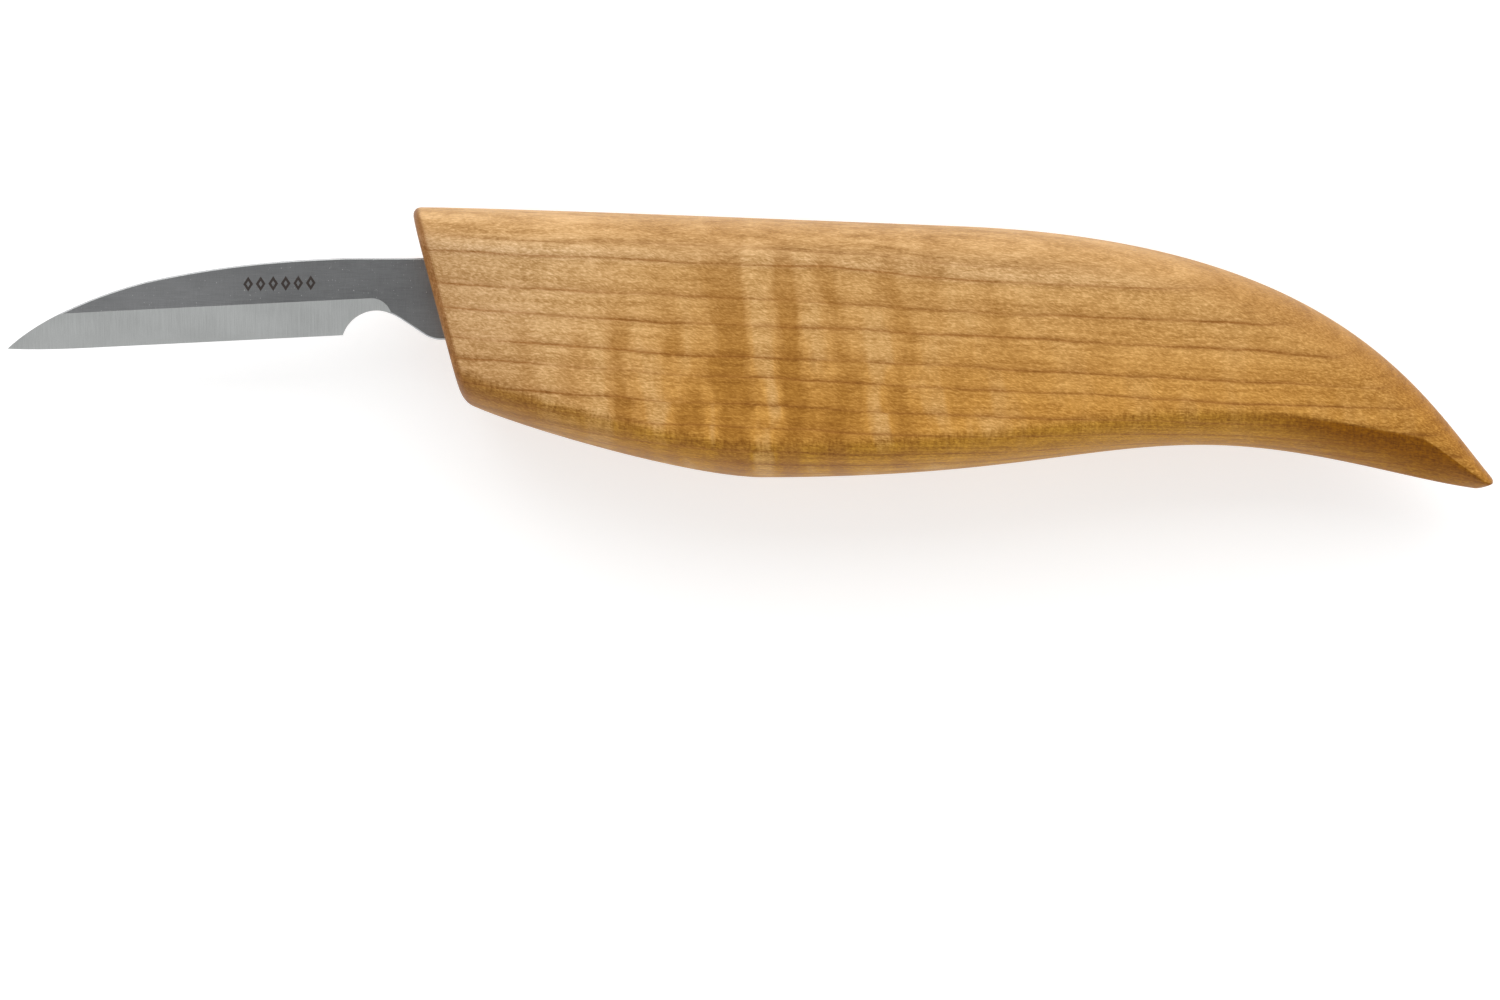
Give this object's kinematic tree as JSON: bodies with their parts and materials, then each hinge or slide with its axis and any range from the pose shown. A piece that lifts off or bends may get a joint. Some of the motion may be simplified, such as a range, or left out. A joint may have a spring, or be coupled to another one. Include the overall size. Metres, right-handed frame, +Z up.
{
  "type": "chip carving knife",
  "caption": "Fixed chip carving knife: a short curved-spine blade with wide ground bevels and a finger notch, bonded by a hidden tang into a shaped one-piece wooden handle.",
  "frame": {"origin": "middle of the knife's underside, the knife lying on one flank", "axes": "+X from the blade's tip to the handle's tail, +Y from the cutting edge to the spine, +Z up through the thickness"},
  "size_m": [0.1782, 0.0338, 0.022],
  "materials": {
    "blade_steel": "satin",
    "handle_wood": "satin",
    "tang_epoxy": "gloss"
  },
  "bodies": {
    "root": {"blade": "blade_steel", "handle": "handle_wood", "bonding_bed": "tang_epoxy"}
  },
  "joints": []
}
